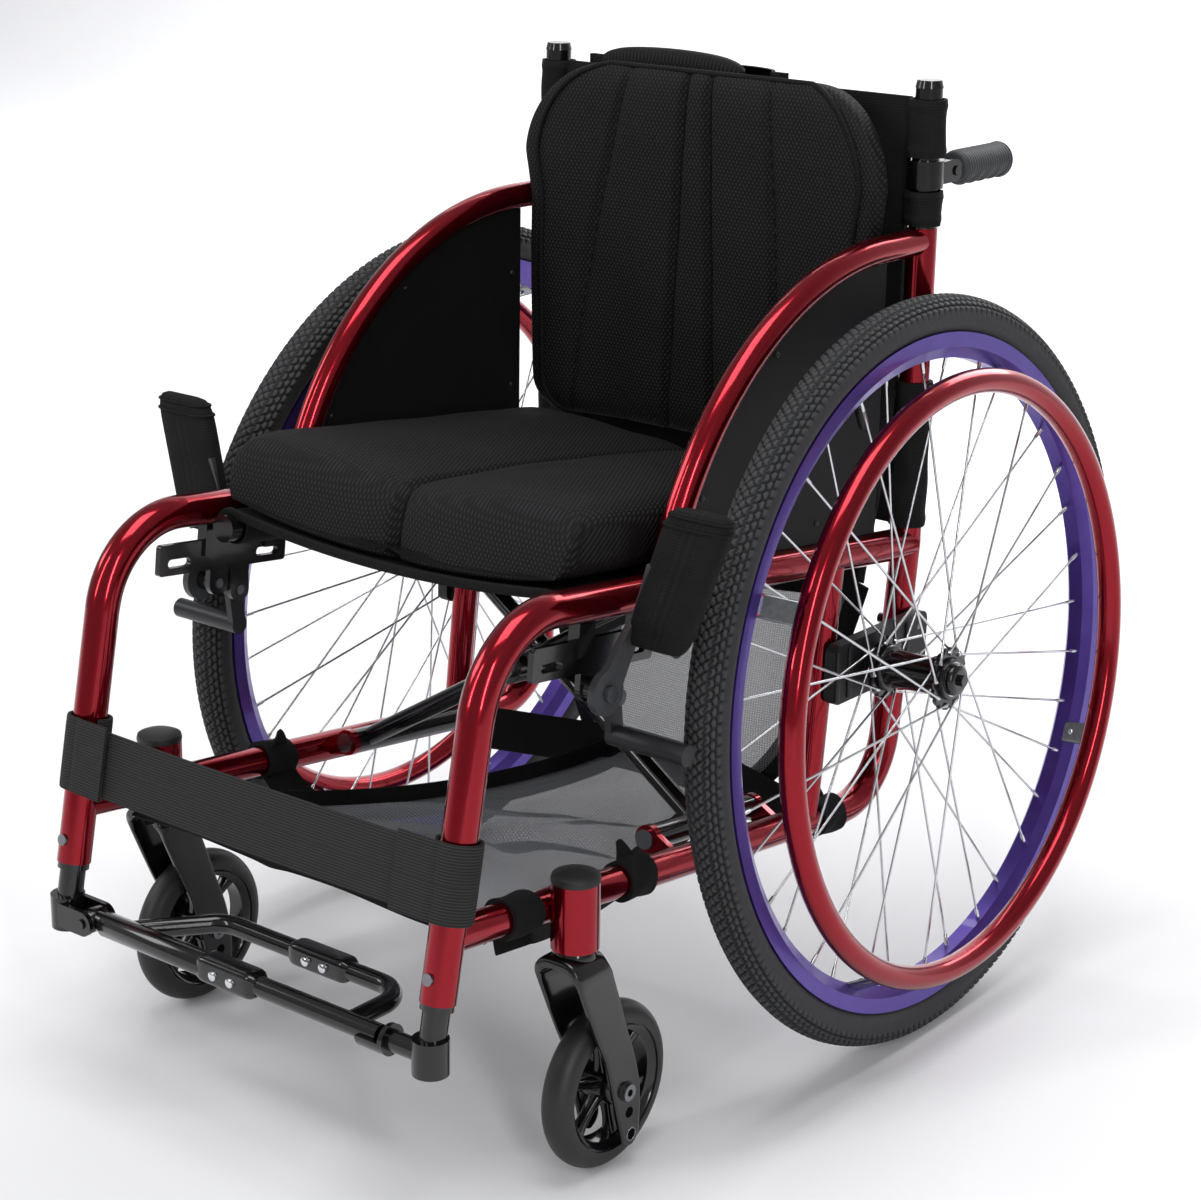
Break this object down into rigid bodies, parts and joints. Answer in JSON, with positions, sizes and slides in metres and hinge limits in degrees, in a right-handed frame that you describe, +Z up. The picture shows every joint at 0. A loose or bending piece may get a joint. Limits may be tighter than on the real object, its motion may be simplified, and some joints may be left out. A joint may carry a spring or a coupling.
{
  "type": "folding sports wheelchair",
  "caption": "Folding rigid-look sports wheelchair with cambered spoked wheels, hand rims, swivel casters, scissor brace, sling seat, lever brakes and a flip-up tube footrest.",
  "frame": {"origin": "on the floor, midway between the wheels and midway along the chair", "axes": "+X to the sitter's left, the chair faces -Y, +Z up"},
  "size_m": [0.6488, 0.8323, 0.765],
  "materials": {
    "red_paint": "glossy candy red paint",
    "purple_rim": "satin purple anodising",
    "black_metal": "gloss black paint",
    "grey_metal": "satin dark grey paint",
    "steel": "bright plated steel",
    "black_plastic": "moulded matt black",
    "gloss_black": "moulded gloss black",
    "tyre": "black tread rubber",
    "grip_rubber": "dark grey ridged rubber",
    "black_cloth": "woven black cloth",
    "black_mesh": "black spacer mesh",
    "webbing": "ribbed charcoal webbing",
    "grey_mesh": "open grey mesh"
  },
  "bodies": {
    "left_frame": {"left_side_frame": "red_paint", "left_side_guard": "black_plastic", "left_back_post": "black_metal", "left_axle_plate": "black_plastic", "left_axle_pin": "steel", "left_brake_mount": "black_metal", "left_headset": "black_plastic", "left_push_handle": "black_metal", "left_frame_screws": "steel", "left_foot_rest_tube": "black_metal", "back_sling": "black_mesh", "back_cushion": "black_mesh", "calf_strap": "webbing", "basket": "grey_mesh"},
    "right_frame": {"right_side_frame": "red_paint", "right_side_guard": "black_plastic", "right_back_post": "black_metal", "right_axle_plate": "black_plastic", "right_axle_pin": "steel", "right_brake_mount": "black_metal", "right_headset": "black_plastic", "right_push_handle": "black_metal", "right_frame_screws": "steel", "right_foot_hinge_tube": "black_metal"},
    "brace_arm_a": {"cross_arm_a": "black_metal", "cross_bolt": "steel"},
    "brace_arm_b": {"cross_arm_b": "black_metal"},
    "seat": {"seat_sling": "black_cloth", "seat_cushion": "black_mesh"},
    "foot_bar": {"footrest": "black_metal"},
    "left_rear_wheel": {"left_tyre": "tyre", "left_rim": "purple_rim", "left_spokes": "steel", "left_hub": "black_metal", "left_hub_bearings": "steel", "left_hand_rim": "red_paint"},
    "left_release_button": {"left_axle_button": "black_plastic"},
    "left_fork": {"left_caster_fork": "grey_metal", "left_caster_bolt": "steel"},
    "left_caster": {"left_caster_wheel": "gloss_black", "left_caster_tyre": "tyre"},
    "left_lever": {"left_brake_lever": "grey_metal", "left_brake_pad": "black_cloth"},
    "left_shoe": {"left_brake_shoe": "grey_metal"},
    "left_handle": {"left_push_grip": "grip_rubber"},
    "right_rear_wheel": {"right_tyre": "tyre", "right_rim": "purple_rim", "right_spokes": "steel", "right_hub": "black_metal", "right_hub_bearings": "steel", "right_hand_rim": "red_paint"},
    "right_release_button": {"right_axle_button": "black_plastic"},
    "right_fork": {"right_caster_fork": "grey_metal", "right_caster_bolt": "steel"},
    "right_caster": {"right_caster_wheel": "gloss_black", "right_caster_tyre": "tyre"},
    "right_lever": {"right_brake_lever": "grey_metal", "right_brake_pad": "black_cloth"},
    "right_shoe": {"right_brake_shoe": "grey_metal"},
    "right_handle": {"right_push_grip": "grip_rubber"}
  },
  "joints": [
    {"name": "fold", "type": "hinge", "parent": "left_frame", "child": "brace_arm_a", "pos_m": [0.16, -0.05327, 0.19884], "axis": [0, 0.9938, -0.1115], "range_deg": [0, 43], "deforming": ["back_sling", "back_cushion", "calf_strap", "basket", "seat_sling", "seat_cushion"]},
    {"name": "cross_pivot", "type": "hinge", "parent": "brace_arm_a", "child": "brace_arm_b", "pos_m": [0, -0.04207, 0.29869], "axis": [0, 0.9938, -0.1115], "range_deg": [-86, 0]},
    {"name": "right_hinge", "type": "hinge", "parent": "brace_arm_b", "child": "right_frame", "pos_m": [-0.16, -0.05327, 0.19884], "axis": [0, 0.9938, -0.1115], "range_deg": [0, 43]},
    {"name": "footrest_flip", "type": "hinge", "parent": "right_frame", "child": "foot_bar", "pos_m": [-0.16, -0.40197, 0.141], "axis": [0, -1, 0], "range_deg": [0, 86]},
    {"name": "seat_lift", "type": "slide", "parent": "left_frame", "child": "seat", "axis": [0, 0.1115, 0.9938], "range_m": [0, 0.1648]},
    {"name": "left_wheel_spin", "type": "hinge", "parent": "left_frame", "child": "left_rear_wheel", "pos_m": [0.258, 0.11047, 0.3044], "axis": [0.9979, 0, 0.0645], "continuous": true},
    {"name": "left_button_press", "type": "slide", "parent": "left_frame", "child": "left_release_button", "axis": [-0.9979, 0, -0.0645], "range_m": [0, 0.004], "stiffness_N_per_m": 400},
    {"name": "left_caster_swivel", "type": "hinge", "parent": "left_frame", "child": "left_fork", "pos_m": [0.2175, -0.27753, 0.18892], "axis": [0, 0, 1], "continuous": true},
    {"name": "left_caster_spin", "type": "hinge", "parent": "left_fork", "child": "left_caster", "pos_m": [0.2175, -0.24153, 0.065], "axis": [1, 0, 0], "continuous": true},
    {"name": "left_brake_throw", "type": "hinge", "parent": "left_frame", "child": "left_lever", "pos_m": [0.207, -0.23548, 0.36866], "axis": [1, 0, 0], "range_deg": [0, 60]},
    {"name": "left_shoe_swing", "type": "hinge", "parent": "left_frame", "child": "left_shoe", "pos_m": [0.196, -0.21252, 0.35804], "axis": [1, 0, 0], "range_deg": [0, 10]},
    {"name": "left_handle_fold", "type": "hinge", "parent": "left_frame", "child": "left_handle", "pos_m": [0.19, 0.21957, 0.691], "axis": [-1, 0, 0], "range_deg": [0, 90]},
    {"name": "right_wheel_spin", "type": "hinge", "parent": "right_frame", "child": "right_rear_wheel", "pos_m": [-0.258, 0.11047, 0.3044], "axis": [-0.9979, 0, 0.0645], "continuous": true},
    {"name": "right_button_press", "type": "slide", "parent": "right_frame", "child": "right_release_button", "axis": [0.9979, 0, -0.0645], "range_m": [0, 0.004], "stiffness_N_per_m": 400},
    {"name": "right_caster_swivel", "type": "hinge", "parent": "right_frame", "child": "right_fork", "pos_m": [-0.2175, -0.27753, 0.18892], "axis": [0, 0, 1], "continuous": true},
    {"name": "right_caster_spin", "type": "hinge", "parent": "right_fork", "child": "right_caster", "pos_m": [-0.2175, -0.24153, 0.065], "axis": [1, 0, 0], "continuous": true},
    {"name": "right_brake_throw", "type": "hinge", "parent": "right_frame", "child": "right_lever", "pos_m": [-0.207, -0.23548, 0.36866], "axis": [1, 0, 0], "range_deg": [0, 60]},
    {"name": "right_shoe_swing", "type": "hinge", "parent": "right_frame", "child": "right_shoe", "pos_m": [-0.196, -0.21252, 0.35804], "axis": [1, 0, 0], "range_deg": [0, 10]},
    {"name": "right_handle_fold", "type": "hinge", "parent": "right_frame", "child": "right_handle", "pos_m": [-0.19, 0.21957, 0.691], "axis": [-1, 0, 0], "range_deg": [0, 90]}
  ],
  "couplings": [
    {"joint": "cross_pivot", "follows": "fold", "ratio": -2},
    {"joint": "right_hinge", "follows": "fold", "ratio": 1},
    {"joint": "footrest_flip", "follows": "fold", "ratio": 2},
    {"joint": "seat_lift", "follows": "fold", "m_per_rad": 0.21886},
    {"joint": "left_shoe_swing", "follows": "left_brake_throw", "ratio": 0.16667},
    {"joint": "right_shoe_swing", "follows": "right_brake_throw", "ratio": 0.16667}
  ]
}
